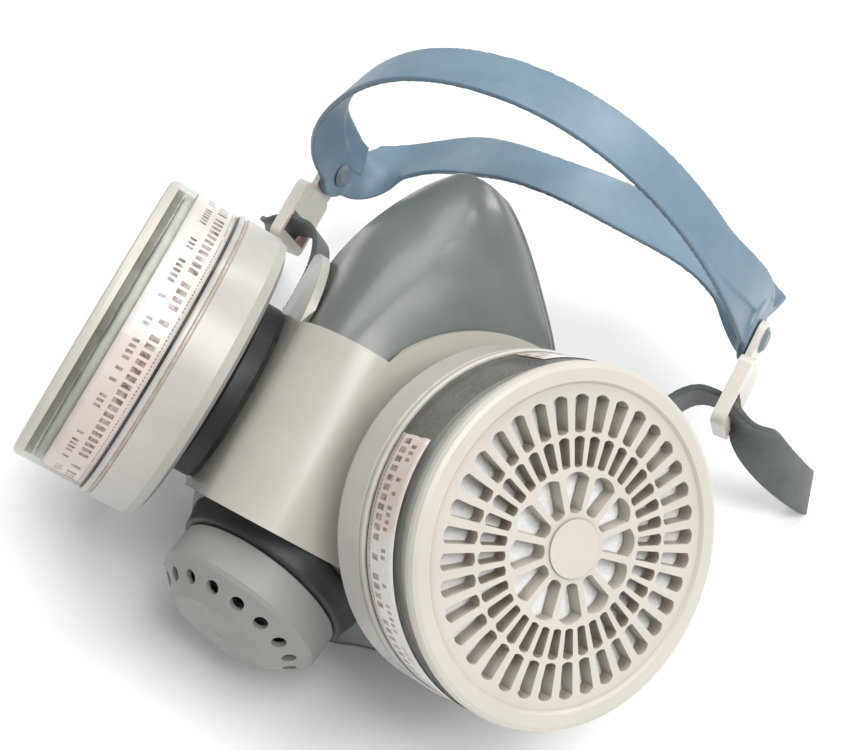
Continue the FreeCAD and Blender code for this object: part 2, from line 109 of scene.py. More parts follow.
class Tree:
    """Short ways to add and join the nodes of one material."""

    def __init__(self, name):
        self.mat = bpy.data.materials.new(name)
        self.mat.use_nodes = True
        self.tree = self.mat.node_tree
        self.shader = self.tree.nodes["Principled BSDF"]
        self.out = self.tree.nodes["Material Output"]
        self.place = self.add("ShaderNodeTexCoord").outputs["Object"]

    def add(self, kind, **values):
        node = self.tree.nodes.new(kind)
        for key, value in values.items():
            setattr(node, key, value)
        return node

    def link(self, source, target):
        self.tree.links.new(source, target)

    def feed(self, socket, value):
        if isinstance(value, bpy.types.NodeSocket):
            self.link(value, socket)
        else:
            socket.default_value = value

    def math(self, op, a, b=0.0, clamp=False):
        node = self.add("ShaderNodeMath", operation=op, use_clamp=clamp)
        self.feed(node.inputs[0], a)
        self.feed(node.inputs[1], b)
        return node.outputs[0]

    def noise(self, scale, detail=3.0, rough=0.5, stretch=None, where=None):
        node = self.add("ShaderNodeTexNoise")
        node.inputs["Scale"].default_value = scale
        node.inputs["Detail"].default_value = detail
        node.inputs["Roughness"].default_value = rough
        source = where or self.place
        if stretch:
            mapping = self.add("ShaderNodeMapping")
            mapping.inputs["Scale"].default_value = stretch
            self.link(source, mapping.inputs["Vector"])
            source = mapping.outputs["Vector"]
        self.link(source, node.inputs["Vector"])
        return node.outputs["Fac"]

    def span(self, value, low, high, to_low=0.0, to_high=1.0):
        node = self.add("ShaderNodeMapRange")
        self.link(value, node.inputs["Value"])
        ends = {"From Min": low, "From Max": high, "To Min": to_low, "To Max": to_high}
        for key, number in ends.items():
            node.inputs[key].default_value = number
        return node.outputs["Result"]

    def mix(self, factor, a, b):
        node = self.add("ShaderNodeMix", data_type="RGBA")
        self.feed(node.inputs["Factor"], factor)
        self.feed(node.inputs[6], a)
        self.feed(node.inputs[7], b)
        return node.outputs[2]

    def hollow(self, reach, low, high):
        """0 on open surfaces and 1 deep in corners and slots."""
        node = self.add("ShaderNodeAmbientOcclusion", samples=8)
        node.inputs["Distance"].default_value = reach
        return self.span(node.outputs["AO"], high, low)

    def bump(self, height, distance, strength=1.0, under=None):
        node = self.add("ShaderNodeBump")
        node.inputs["Distance"].default_value = distance
        node.inputs["Strength"].default_value = strength
        self.link(height, node.inputs["Height"])
        if under is not None:
            self.link(under, node.inputs["Normal"])
        return node.outputs["Normal"]

    def finish(self, colour, rough, normal, **fixed):
        self.feed(self.shader.inputs["Base Color"], colour)
        self.feed(self.shader.inputs["Roughness"], rough)
        if normal is not None:
            self.link(normal, self.shader.inputs["Normal"])
        for key, value in fixed.items():
            self.shader.inputs[key.replace("_", " ")].default_value = value
        return self.mat


def moulded(name, base, spread=0.08, rough=(0.35, 0.5), grain=0.00003, dirt_and_shade=None,
            dirt_and_shade_reach=0.002, dirt_and_shade_top=0.75, blotchy=0.35, **fixed):
    """Moulded plastic or rubber: cloudy colour, fine skin grain, uneven gloss, and a tint in
    corners and slots masked by ambient occlusion, which is dirt and, where darker than the base,
    also painted shade.
    """
    t = Tree(name)
    cloud = t.noise(35, 4, 0.6)
    lighter = tuple(min(1, c * (1 + spread)) for c in base[:3]) + (1,)
    darker = tuple(c * (1 - spread) for c in base[:3]) + (1,)
    colour = t.mix(t.span(cloud, 0.3, 0.7), darker, lighter)
    # Tint in corners masked by ambient occlusion: dirt, and where it is darker than the base colour
    # it is also painted shade in corners, slots and joints between parts.
    if dirt_and_shade:
        blotch = t.span(t.noise(220, 5, 0.7), blotchy, 0.7)
        corner_shade = t.hollow(dirt_and_shade_reach, 0.35, dirt_and_shade_top)
        colour = t.mix(t.math("MULTIPLY", corner_shade, blotch, True), colour, dirt_and_shade)
    gloss = t.span(t.noise(90, 5, 0.6), 0.3, 0.7, rough[0], rough[1])
    fine = t.bump(t.noise(2600, 2, 0.6), grain, 0.6)
    soft = t.bump(t.noise(120, 3, 0.5), grain * 4, 0.5, fine)
    return t.finish(colour, gloss, soft, **fixed)


def face_rubber():
    """Grey-green silicone: slightly see-through, satin, finger-marked."""
    t = Tree("face_silicone")
    cloud = t.span(t.noise(22, 4, 0.6), 0.3, 0.7)
    colour = t.mix(cloud, rgb(88, 93, 89), rgb(106, 111, 107))
    marks = t.span(t.noise(150, 6, 0.75, (1, 1, 0.35)), 0.58, 0.72)
    colour = t.mix(t.math("MULTIPLY", marks, 0.22), colour, rgb(132, 135, 130))
    gloss = t.span(t.noise(60, 5, 0.65), 0.3, 0.72, 0.30, 0.46)
    fine = t.bump(t.noise(1900, 2, 0.5), 0.00002, 0.5)
    soft = t.bump(t.noise(70, 3, 0.5), 0.0002, 0.35, fine)
    return t.finish(colour, gloss, soft, Subsurface_Weight=0.25, Subsurface_Scale=0.004,
                    Coat_Weight=0.4, Coat_Roughness=0.18)


RIDGE_AT, RIDGE_HALF = 0.0152, 0.0007      # dusty line along the port axis, in metres


def cartridge_body(side):
    """Warm grey gloss plastic with a thin dusty line where the front ridge meets the window, and a
    brownish tint in its corners that is dust and painted shade.
    """
    t = Tree("cartridge_plastic")
    cloud = t.span(t.noise(30, 4, 0.6), 0.3, 0.7)
    colour = t.mix(cloud, rgb(170, 166, 159), rgb(186, 182, 175))
    axis = (PORT[side].to_3x3() @ Vector((0, 0, 1))).normalized()
    dot = t.add("ShaderNodeVectorMath", operation="DOT_PRODUCT")
    t.link(t.place, dot.inputs[0])
    dot.inputs[1].default_value = axis
    along = t.math("SUBTRACT", dot.outputs["Value"], PORT[side].translation.dot(axis))
    wobble = t.math("MULTIPLY", t.math("SUBTRACT", t.noise(160, 4, 0.7), 0.5), 0.0016)
    edge = t.math("ADD", along, wobble)
    off = t.math("ABSOLUTE", t.math("SUBTRACT", edge, RIDGE_AT))
    band = t.math("SUBTRACT", 1.0, t.math("DIVIDE", off, RIDGE_HALF), True)
    band = t.math("MULTIPLY", band, t.span(t.noise(240, 5, 0.7), 0.3, 0.6))
    colour = t.mix(t.math("MULTIPLY", band, 0.75), colour, rgb(150, 128, 104))
    # Brownish tint masked by ambient occlusion: dust, and painted shade in corners and where parts
    # meet.
    blotch = t.span(t.noise(260, 5, 0.7), 0.3, 0.7)
    patches = t.math("MULTIPLY", t.hollow(0.003, 0.3, 0.85), blotch, True)
    colour = t.mix(patches, colour, rgb(134, 120, 102))
    gloss = t.span(t.noise(80, 5, 0.6), 0.3, 0.7, 0.26, 0.42)
    scuffs = t.bump(t.noise(500, 4, 0.7, (1, 1, 0.15)), 0.00004, 0.5)
    return t.finish(colour, gloss, scuffs, Coat_Weight=0.15, Coat_Roughness=0.2)


def clear_plastic():
    """Clear polycarbonate: see-through with strong gloss, haze and fine scratches."""
    t = Tree("clear_plastic")
    haze = t.span(t.noise(60, 5, 0.65), 0.35, 0.75)
    scratch = t.span(t.noise(900, 3, 0.7, (1, 0.05, 1)), 0.62, 0.7)
    colour = t.mix(haze, rgb(178, 178, 174), rgb(206, 205, 201))
    t.finish(colour, t.span(haze, 0, 1, 0.08, 0.22), t.bump(scratch, 0.00003, 0.4))
    clear = t.add("ShaderNodeBsdfTransparent")
    t.feed(clear.inputs["Color"], t.mix(haze, rgb(246, 247, 244), rgb(234, 235, 231)))
    fresnel = t.add("ShaderNodeLayerWeight")
    fresnel.inputs["Blend"].default_value = 0.25
    body = t.math("ADD", t.math("MULTIPLY", fresnel.outputs["Facing"], 0.32), 0.05, True)
    body = t.math("ADD", body, t.math("MULTIPLY", t.math("ADD", haze, scratch), 0.06), True)
    mixer = t.add("ShaderNodeMixShader")
    t.link(body, mixer.inputs[0])
    t.link(clear.outputs[0], mixer.inputs[1])
    t.link(t.shader.outputs[0], mixer.inputs[2])
    t.link(mixer.outputs[0], t.out.inputs["Surface"])
    return t.mat


BAR_ROWS = ((1.0, 1.35, 1.1, 0.6, 0.02),       # from, to and pitch in mm, inked share of a
            (2.6, 5.4, 2.4, 0.62, 0.25),       # pitch and share of the bars left out
            (7.0, 9.0, 1.7, 0.55, 0.35))
TINT_BLOCK = 38.0                              # mm of band that share one tint


def label_film():
    """Pinkish paper band with rows of plain speckled bars, laid out on its own UVs in mm."""
    t = Tree("label_film")
    uv = t.add("ShaderNodeSeparateXYZ")
    t.link(t.add("ShaderNodeTexCoord").outputs["UV"], uv.inputs[0])
    across, up = uv.outputs[0], uv.outputs[1]
    ink = None
    for low, high, pitch, filled, missing in BAR_ROWS:
        row = t.math("MULTIPLY", t.math("GREATER_THAN", up, low), t.math("LESS_THAN", up, high))
        step = t.math("DIVIDE", across, pitch)
        bar = t.math("LESS_THAN", t.math("FRACT", step), filled)
        gap = t.add("ShaderNodeTexWhiteNoise", noise_dimensions="1D")
        t.link(t.math("ADD", t.math("FLOOR", step), low * 7), gap.inputs["W"])
        bar = t.math("MULTIPLY", bar, t.math("GREATER_THAN", gap.outputs["Value"], missing))
        row = t.math("MULTIPLY", row, bar)
        ink = row if ink is None else t.math("ADD", ink, row, True)
    fade = t.span(t.noise(420, 4, 0.75), 0.36, 0.6, 0.35, 0.95)
    cloud = t.span(t.noise(45, 4, 0.6), 0.35, 0.65)
    paper = t.mix(cloud, rgb(202, 195, 187), rgb(218, 213, 206))
    block = t.add("ShaderNodeTexWhiteNoise", noise_dimensions="1D")
    t.link(t.math("FLOOR", t.math("DIVIDE", across, TINT_BLOCK)), block.inputs["W"])
    tint = t.math("MULTIPLY", t.math("GREATER_THAN", block.outputs["Value"], 0.55), 0.55)
    paper = t.mix(tint, paper, rgb(196, 178, 168))
    colour = t.mix(t.math("MULTIPLY", ink, fade), paper, rgb(96, 66, 58))
    crease = t.bump(t.noise(130, 4, 0.6, (1, 1, 0.4)), 0.00012, 0.6)
    return t.finish(colour, t.span(t.noise(70, 3), 0.3, 0.7, 0.3, 0.45), crease, Coat_Weight=0.3,
                    Coat_Roughness=0.12)


def filter_pad():
    """White felted fibre."""
    t = Tree("filter_fibre")
    tuft = t.noise(420, 6, 0.8)
    strand = t.noise(1500, 3, 0.6, (1, 0.12, 1))
    colour = t.mix(t.span(tuft, 0.3, 0.7), rgb(226, 226, 224), rgb(250, 250, 248))
    normal = t.bump(strand, 0.00012, 0.7, t.bump(tuft, 0.0004, 0.7))
    return t.finish(colour, t.span(tuft, 0.3, 0.7, 0.85, 0.98), normal, Sheen_Weight=0.4)


def charcoal():
    """Near-black grit with paler broken faces."""
    t = Tree("charcoal_grain")
    grit = t.noise(900, 6, 0.8)
    colour = t.mix(t.span(grit, 0.3, 0.7), rgb(30, 24, 22), rgb(92, 78, 70))
    return t.finish(colour, t.span(grit, 0.3, 0.7, 0.45, 0.85), t.bump(grit, 0.0003, 0.9))


def strap_rubber():
    """Dark green-grey elastic: lengthwise threads, dusty along its face."""
    t = Tree("strap_elastic")
    patches = t.span(t.noise(70, 5, 0.7), 0.3, 0.7)
    colour = t.mix(patches, rgb(48, 56, 52), rgb(80, 88, 83))
    weave = t.noise(2200, 2, 0.5)
    normal = t.bump(weave, 0.00012, 0.8, t.bump(t.noise(300, 4, 0.6), 0.0002, 0.5))
    return t.finish(colour, t.span(patches, 0, 1, 0.5, 0.68), normal, Sheen_Weight=0.2)


def cradle_blue():
    """Steel-blue moulded rubber, paler where it has been flexed and handled."""
    t = Tree("cradle_blue")
    worn = t.span(t.noise(18, 5, 0.65), 0.3, 0.7)
    colour = t.mix(worn, rgb(92, 114, 129), rgb(114, 138, 153))
    scuff = t.span(t.noise(260, 5, 0.75), 0.6, 0.75)
    colour = t.mix(t.math("MULTIPLY", scuff, 0.25), colour, rgb(138, 156, 172))
    gloss = t.span(t.noise(50, 5, 0.6), 0.3, 0.7, 0.34, 0.52)
    normal = t.bump(t.noise(2000, 2, 0.5), 0.00002, 0.6, t.bump(t.noise(110, 3), 0.00015, 0.4))
    return t.finish(colour, gloss, normal, Coat_Weight=0.1, Coat_Roughness=0.3)


def floor_paint():
    """Almost white matt paint."""
    t = Tree("pale_floor")
    colour = t.mix(t.span(t.noise(3, 3), 0.3, 0.7), rgb(240, 240, 239), rgb(246, 246, 245))
    gloss = t.span(t.noise(8, 3), 0.3, 0.7, 0.55, 0.7)
    return t.finish(colour, gloss, t.bump(t.noise(60, 3), 0.0002, 0.2))


# The darker corner tints of the yoke, valve, grille and buckle are painted shade in corners, slots
# and between parts as well as dirt; the grille's fills nearly every slot wall. The paler tint on
# black rubber is dust.
YOKE = moulded("yoke_plastic", rgb(168, 164, 154), 0.05, (0.3, 0.44), dirt_and_shade=rgb(120, 110, 94),
               dirt_and_shade_reach=0.003, Coat_Weight=0.4, Coat_Roughness=0.2)
VALVE_GREY = moulded("valve_plastic", rgb(134, 132, 127), 0.06, (0.42, 0.58),
                     dirt_and_shade=rgb(84, 80, 74))
GRILLE = moulded("grille_plastic", rgb(190, 185, 173), 0.05, (0.34, 0.5), dirt_and_shade=rgb(112, 98, 78),
                 dirt_and_shade_reach=0.004, dirt_and_shade_top=0.92, blotchy=-0.3, Coat_Weight=0.1, Coat_Roughness=0.3)
BLACK = moulded("black_rubber", rgb(38, 41, 40), 0.16, (0.42, 0.6), 0.00005, dirt_and_shade=rgb(84, 82, 76),
                dirt_and_shade_top=0.9)
FLAP = moulded("flap_rubber", rgb(70, 66, 60), 0.12, (0.3, 0.45), 0.00002)
SCREEN = moulded("screen_plastic", rgb(150, 150, 144), 0.1, (0.4, 0.55))
STUD = moulded("stud_plastic", rgb(112, 122, 126), 0.1, (0.3, 0.45))
BUCKLE = moulded("buckle_plastic", rgb(204, 201, 190), 0.05, (0.25, 0.42),
                 dirt_and_shade=rgb(150, 128, 100), Subsurface_Weight=0.35, Subsurface_Scale=0.004,
                 Coat_Weight=0.15, Coat_Roughness=0.2)
FACE = face_rubber()
CLEAR = clear_plastic()
LABEL = label_film()
PAD = filter_pad()
CHARCOAL = charcoal()
STRAP = strap_rubber()
BLUE = cradle_blue()


# ---- pieces -----------------------------------------------------------------------------
def paint(obj, material):
    """One material on every slot, set on the object and not on its shared mesh."""
    slots = obj.material_slots
    if slots:
        for entry in slots:
            entry.link = "OBJECT"
            entry.material = material
    else:
        obj.data.materials.append(material)


def piece(name, mesh, body, material, slot, *nodes):
    """A new piece that rides on a body and stands for CAD nodes."""
    obj = bpy.data.objects.new(name, mesh)
    bpy.context.scene.collection.objects.link(obj)
    mesh.materials.clear()
    mesh.materials.append(material)
    mesh.polygons.foreach_set("use_smooth", [True] * len(mesh.polygons))
    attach(obj, body)
    if nodes:
        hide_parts(*nodes)
    return obj


def softened(node, width, material, angle=35.0, segments=2):
    """Rounds the moulded edges of a CAD node by a width in mm, and paints it."""
    obj = NODES[node]
    bevel = obj.modifiers.new("edges", "BEVEL")
    bevel.width = width * MM
    bevel.segments = segments
    bevel.limit_method = "ANGLE"
    bevel.angle_limit = math.radians(angle)
    paint(obj, material)


def cast(node, voxel, rounds):
    """Mesh of a CAD node remade as one soft moulding, in voxels of so many mm."""
    data = NODES[node].data.copy()
    obj = bpy.data.objects.new("cast", data)
    bpy.context.scene.collection.objects.link(obj)
    remesh = obj.modifiers.new("voxels", "REMESH")
    remesh.mode = "VOXEL"
    remesh.voxel_size = voxel * MM
    relax = obj.modifiers.new("relax", "SMOOTH")
    relax.iterations = rounds
    relax.factor = 0.5
    depsgraph = bpy.context.evaluated_depsgraph_get()
    mesh = bpy.data.meshes.new_from_object(obj.evaluated_get(depsgraph))
    bpy.data.objects.remove(obj)
    return mesh


def lathe(profile, steps, matrix):
    """Mesh of a closed (radius, height) outline turned about a frame's Z axis."""
    verts, faces = [], []
    count = len(profile)
    for step in range(steps):
        turn = 2 * math.pi * step / steps
        for radius, height in profile:
            verts.append(matrix @ Vector((radius * math.cos(turn), radius * math.sin(turn),
                                          height)))
    for step in range(steps):
        ahead = (step + 1) % steps
        for index in range(count):
            other = (index + 1) % count
            faces.append((step * count + index, ahead * count + index,
                          ahead * count + other, step * count + other))
    mesh = bpy.data.meshes.new("lathe")
    mesh.from_pydata(verts, [], faces)
    return mesh


def rounded(corners, radius, steps=4):
    """Closed (radius, height) outline with every corner rounded."""
    out = []
    total = len(corners)
    for index, corner in enumerate(corners):
        here = Vector(corner)
        before = Vector(corners[index - 1]) - here
        after = Vector(corners[(index + 1) % total]) - here
        reach = min(radius, before.length * 0.45, after.length * 0.45)
        start, end = here + before.normalized() * reach, here + after.normalized() * reach
        for step in range(steps + 1):
            u = step / steps
            out.append(tuple(start * (1 - u) ** 2 + here * 2 * u * (1 - u) + end * u ** 2))
    return out


# ---- mask cup and its face seal -----------------------------------------------------------
RIM = [(19, 96), (27.5, 75), (36.5, 56), (47, 38), (60, 14), (65, -8), (65.5, -26),
       (61.9, -44), (60.8, -66)]      # (y, z) of the cut rim in the worn frame, nose to chin
RIM_NEAR = 2.0                        # a rim face's middle is this close to that line, in mm
RIM_SQUARE = 0.85                     # and this is the least cosine to the line's own normal


def on_rim(face):
    """Whether a face lies along the rim's line and looks the way that the cut does there."""
    mid = face.calc_center_median()
    near, square = 1e9, 0.0
    for (y0, z0), (y1, z1) in zip(RIM, RIM[1:]):
        dy, dz = y1 - y0, z1 - z0
        u = max(0.0, min(1.0, ((mid.y - y0) * dy + (mid.z - z0) * dz) / (dy * dy + dz * dz)))
        off = math.hypot(mid.y - y0 - u * dy, mid.z - z0 - u * dz)
        if off < near:
            near = off
            square = (face.normal.z * dy - face.normal.y * dz) / math.hypot(dy, dz)
    return near < RIM_NEAR and square > RIM_SQUARE


def length_round(loop):
    return sum((a - b).length for a, b in zip(loop, loop[1:] + loop[:1]))


def rim_loops():
    """Outer and inner edge of the cup's cut rim, in the wearer's frame, as point lists."""
    bm = bmesh.new()
    bm.from_mesh(NODES["facepiece_cup"].data)
    bm.transform(TO_WORN)
    bmesh.ops.remove_doubles(bm, verts=bm.verts, dist=0.01)
    bmesh.ops.dissolve_degenerate(bm, edges=bm.edges, dist=0.001)
    bm.normal_update()
    rim = {face for face in bm.faces if on_rim(face)}
    follow = {}
    for face in rim:
        for edge in face.edges:
            if sum(1 for f in edge.link_faces if f in rim) == 1:
                a, b = edge.verts
                follow.setdefault(a.index, []).append(b.index)
                follow.setdefault(b.index, []).append(a.index)
    bm.verts.ensure_lookup_table()
    loops, used = [], set()
    for start in sorted(follow):
        if start in used:
            continue
        loop, here, last = [start], start, None
        used.add(start)
        while True:
            ahead = [v for v in follow[here] if v != last and v not in used]
            if not ahead:
                break
            last, here = here, ahead[0]
            used.add(here)
            loop.append(here)
        loops.append([bm.verts[i].co.copy() for i in loop])
    bm.free()
    loops = [loop for loop in loops if len(loop) > 12]
    loops.sort(key=length_round, reverse=True)
    return loops[0], loops[1]


def even(loop, count):
    """Loop resampled at equal steps from its top middle, going to +X first."""
    top = max(range(len(loop)), key=lambda i: loop[i].z - abs(loop[i].x))
    loop = loop[top:] + loop[:top]
    if loop[len(loop) // 4].x < 0:
        loop = [loop[0]] + loop[:0:-1]
    loop = loop + loop[:1]
    marks = np.cumsum([0] + [(b - a).length for a, b in zip(loop, loop[1:])])
    at = np.linspace(0, marks[-1], count, endpoint=False)
    points = np.array([tuple(p) for p in loop])
    return np.stack([np.interp(at, marks, points[:, k]) for k in range(3)], axis=1)


def relaxed(values, rounds):
    """Values round a loop, each blended with its neighbours."""
    for _ in range(rounds):
        values = (np.roll(values, 1, axis=0) + 2 * values + np.roll(values, -1, axis=0)) / 4
    return values


SEAL_STEPS = 320
LIP_SHARE = 0.72                      # lip's reach as a share of the rim's bend radius
LIP_SHORT, LIP_LONG = 4.5, 12.0       # limits of that reach in mm
# The section as (inwards, backwards) points. The lip's inward values are shares of its reach.
BEAD_TOP = [(-0.5, -0.6), (-0.55, 0.5), (0.1, 1.4), (1.2, 1.9), (2.6, 2.0)]
LIP_TOP = [(0.30, 1.75), (0.5, 1.15), (0.72, 0.1), (0.9, -1.3), (1.0, -2.4)]
LIP_LOW = [(1.0, -3.1), (0.86, -2.3), (0.68, -1.2), (0.46, -0.2), (0.30, 0.25)]
BEAD_LOW = [(2.4, -0.3), (1.6, -1.4), (0.4, -1.5)]
LIP_ROOT = 2.6                        # the lip never starts nearer the rim than this


def seal_lip():
    """Rounded rim bead with a thin lip that turns inwards, swept round the face opening."""
    outer_loop, inner_loop = rim_loops()
    outer, inner = relaxed(even(outer_loop, SEAL_STEPS), 6), even(inner_loop, SEAL_STEPS * 4)
    near = [np.argmin(np.linalg.norm(inner - point, axis=1)) for point in outer]
    inward = relaxed(inner[near] - outer, 12)
    tangent = np.roll(outer, -1, axis=0) - np.roll(outer, 1, axis=0)
    tangent /= np.linalg.norm(tangent, axis=1)[:, None]
    inward -= tangent * np.sum(inward * tangent, axis=1)[:, None]
    inward /= np.linalg.norm(inward, axis=1)[:, None]
    back = np.cross(tangent, inward)
    back *= np.sign(back[:, 1])[:, None]
    bend = np.roll(tangent, -4, axis=0) - np.roll(tangent, 4, axis=0)
    step = np.linalg.norm(np.roll(outer, -4, axis=0) - np.roll(outer, 4, axis=0), axis=1)
    radius = step / np.maximum(np.linalg.norm(bend, axis=1), 1e-4)
    reach = relaxed(np.clip(LIP_SHARE * radius, LIP_SHORT, LIP_LONG)[:, None], 30)[:, 0]
    verts, faces = [], []
    for k in range(SEAL_STEPS):
        outline = list(BEAD_TOP)
        outline += [(max(u * reach[k], LIP_ROOT + 0.1 + 0.02 * n), h)
                    for n, (u, h) in enumerate(LIP_TOP)]
        outline += [(max(u * reach[k], LIP_ROOT), h) for u, h in LIP_LOW]
        outline += BEAD_LOW
        for i, b in outline:
            verts.append(WORN @ Vector(outer[k] + inward[k] * i + back[k] * b))
    count = len(outline)
    for k in range(SEAL_STEPS):
        ahead = (k + 1) % SEAL_STEPS
        for n in range(count):
            m = (n + 1) % count
            faces.append((k * count + n, ahead * count + n,
                          ahead * count + m, k * count + m))
    mesh = bpy.data.meshes.new("seal")
    mesh.from_pydata(verts, [], faces)
    return mesh


def face_parts():
    piece("mask_cup", cast("facepiece_cup", 0.9, 5), "mask_body", FACE, "face_rubber",
          "facepiece_cup")
    lip = piece("face_seal_lip", seal_lip(), "mask_body", FACE, "face_rubber")
    lip.modifiers.new("smooth", "SUBSURF").render_levels = 1
    softened("front_yoke", 0.7, YOKE)


# ---- valve ------------------------------------------------------------------------------
COLLAR = [(20.1, -8.15), (27.3, -8.1), (28.0, -6.9), (26.7, -3.2), (26.2, -0.3), (20.1, -0.3)]


def valve_parts():
    ring = lathe(rounded(COLLAR, 1.0), 128, VALVE)
    piece("chin_collar_ring", ring, "mask_body", BLACK, "black_rubber", "chin_collar")
    softened("valve_cover", 0.5, VALVE_GREY)
    softened("valve_seat", 0.3, VALVE_GREY)
    paint(NODES["exhalation_flap"], FLAP)


# ---- cartridges: radii, and heights along the port axis, in mm ---------------------------
LABEL_R, LABEL_THICK = 46.06, 0.1
LABEL_FROM, LABEL_TO = 18.2, 30.8
LABEL_GAP = math.radians(46.0)
GAP_START = {1: math.radians(38.0), -1: math.radians(150.0)}   # each cartridge's own turn
PAD_R, PAD_ROUND = 43.7, 1.5          # the edge rounds off over the last of the radius
PAD_FRONT, PAD_BACK = 33.55, 30.4
BED_R, BED_FROM, BED_TO = 42.6, 12.3, 28.4
GRAIN_R, WINDOW_R = 42.75, 43.85      # grains sit on the first and stay inside the second
GAP_GRAINS, LOW_GRAINS = 620, 420     # seen through the label's gap, and below the label


def ring_point(side, radius, turn, height):
    """Point at a radius and turn about one port's axis."""
    return PORT[side] @ Vector((radius * math.cos(turn), radius * math.sin(turn), height))


def label_band(side):
    """Thin printed band, its UVs in mm along and across."""
    steps, rows = 150, 6
    verts, uvs, faces = [], [], []
    for layer in (0, 1):
        for step in range(steps + 1):
            turn = GAP_START[side] + LABEL_GAP + (2 * math.pi - LABEL_GAP) * step / steps
            for row in range(rows + 1):
                height = LABEL_FROM + (LABEL_TO - LABEL_FROM) * row / rows
                fray = 0.006 * noise.noise(Vector((turn * 9, row * 0.7, side * 3.0)))
                r = LABEL_R + LABEL_THICK * layer + (fray if layer else 0)
                end = 0.004 * math.sin(row * 2.1) if step in (0, steps) else 0
                verts.append(ring_point(side, r, turn + end, height))
                uvs.append((turn * LABEL_R + 61 * side, height - LABEL_FROM))
    wide, size = rows + 1, (steps + 1) * (rows + 1)
    for step in range(steps):
        for row in range(rows):
            a = step * wide + row
            faces.append((size + a, size + a + wide, size + a + wide + 1, size + a + 1))
            faces.append((a, a + 1, a + wide + 1, a + wide))
    for step in range(steps):
        for row, flip in ((0, 1), (rows, 0)):
            a, b = step * wide + row, (step + 1) * wide + row
            faces.append((a, b, size + b, size + a) if flip else (b, a, size + a, size + b))
    for row in range(rows):
        for base, flip in ((0, 0), (steps * wide, 1)):
            a, b = base + row, base + row + 1
            faces.append((a, b, size + b, size + a) if flip else (b, a, size + a, size + b))
    mesh = bpy.data.meshes.new("label")
    mesh.from_pydata(verts, [], faces)
    layer = mesh.uv_layers.new(name="mm")
    for loop in mesh.loops:
        layer.data[loop.index].uv = uvs[loop.vertex_index]
    return mesh


def pad_disc(side):
    """Felted filter disc: gently lumpy front, rounded edge, flat back."""
    rings, steps = 70, 200
    verts, faces = [], []
    for ring in range(1, rings + 1):
        radius = PAD_R * ring / rings
        edge = max(0.0, (radius - PAD_R + PAD_ROUND) / PAD_ROUND)
        for step in range(steps):
            turn = 2 * math.pi * step / steps
            x, y = radius * math.cos(turn), radius * math.sin(turn)
            lump = noise.noise(Vector((x * 0.16, y * 0.16, side * 4.0)))
            tuft = noise.noise(Vector((x * 0.9, y * 0.9, side * 9.0)))
            height = PAD_FRONT + 0.25 * lump + 0.18 * tuft - 0.8 * edge * edge
            verts.append(PORT[side] @ Vector((x, y, height)))
    front = len(verts)
    verts.append(PORT[side] @ Vector((0, 0, PAD_FRONT)))
    for step in range(steps):
        verts.append(ring_point(side, PAD_R, 2 * math.pi * step / steps, PAD_BACK))
    verts.append(PORT[side] @ Vector((0, 0, PAD_BACK)))
    for step in range(steps):
        ahead = (step + 1) % steps
        faces.append((front, step, ahead))
        for ring in range(rings - 1):
            a, b = ring * steps, (ring + 1) * steps
            faces.append((a + step, b + step, b + ahead, a + ahead))
        last = (rings - 1) * steps
        faces.append((last + step, front + 1 + step, front + 1 + ahead, last + ahead))
        faces.append((front + 1 + ahead, front + 1 + step, len(verts) - 1))
    mesh = bpy.data.meshes.new("pad")
    mesh.from_pydata(verts, [], faces)
    return mesh


def charcoal_grains(side):
    """A bed of broken grains packed against the clear window."""
    rng = random.Random(40 + side)
    bm = bmesh.new()
    steps = 120
    lower, upper = ([bm.verts.new(ring_point(side, BED_R, 2 * math.pi * k / steps, height))
                     for k in range(steps)] for height in (BED_FROM, BED_TO))
    for k in range(steps):
        m = (k + 1) % steps
        bm.faces.new((lower[k], lower[m], upper[m], upper[k]))
    bm.faces.new(list(reversed(lower)))
    bm.faces.new(upper)

    def grain(turn, height, size):
        """One jagged eight-sided chip with its own random corners."""
        centre = Vector((GRAIN_R * math.cos(turn), GRAIN_R * math.sin(turn), height))
        tips = []
        for axis in range(3):
            for sign in (1, -1):
                tip = Vector((0, 0, 0))
                tip[axis] = sign * size * rng.uniform(0.6, 1.1)
                tip += Vector([rng.uniform(-0.25, 0.25) * size for _ in range(3)])
                tips.append(tip)
        roll = Matrix.Rotation(rng.uniform(0, 6.28), 3, "X")
        spin = roll @ Matrix.Rotation(rng.uniform(0, 6.28), 3, "Z")
        made = []
        for tip in tips:
            at = centre + spin @ tip
            scale = min(1.0, WINDOW_R / math.hypot(at.x, at.y))
            at = Vector((at.x * scale, at.y * scale, min(BED_TO, max(BED_FROM + 0.1, at.z))))
            made.append(bm.verts.new(PORT[side] @ at))
        for i in (0, 1):
            for j in (2, 3):
                for m in (4, 5):
                    order = (made[i], made[j], made[m])
                    bm.faces.new(order if (i + j + m) % 2 == 0 else order[::-1])

    for _ in range(GAP_GRAINS):
        turn = GAP_START[side] + rng.uniform(-0.15, LABEL_GAP + 0.15)
        grain(turn, rng.uniform(13.2, 27.8), rng.uniform(0.6, 1.25))
    for _ in range(LOW_GRAINS):
        grain(rng.uniform(0, 2 * math.pi), rng.uniform(15.5, 19.2), rng.uniform(0.6, 1.1))
    mesh = bpy.data.meshes.new("grains")
    bm.to_mesh(mesh)
    bm.free()
    return mesh


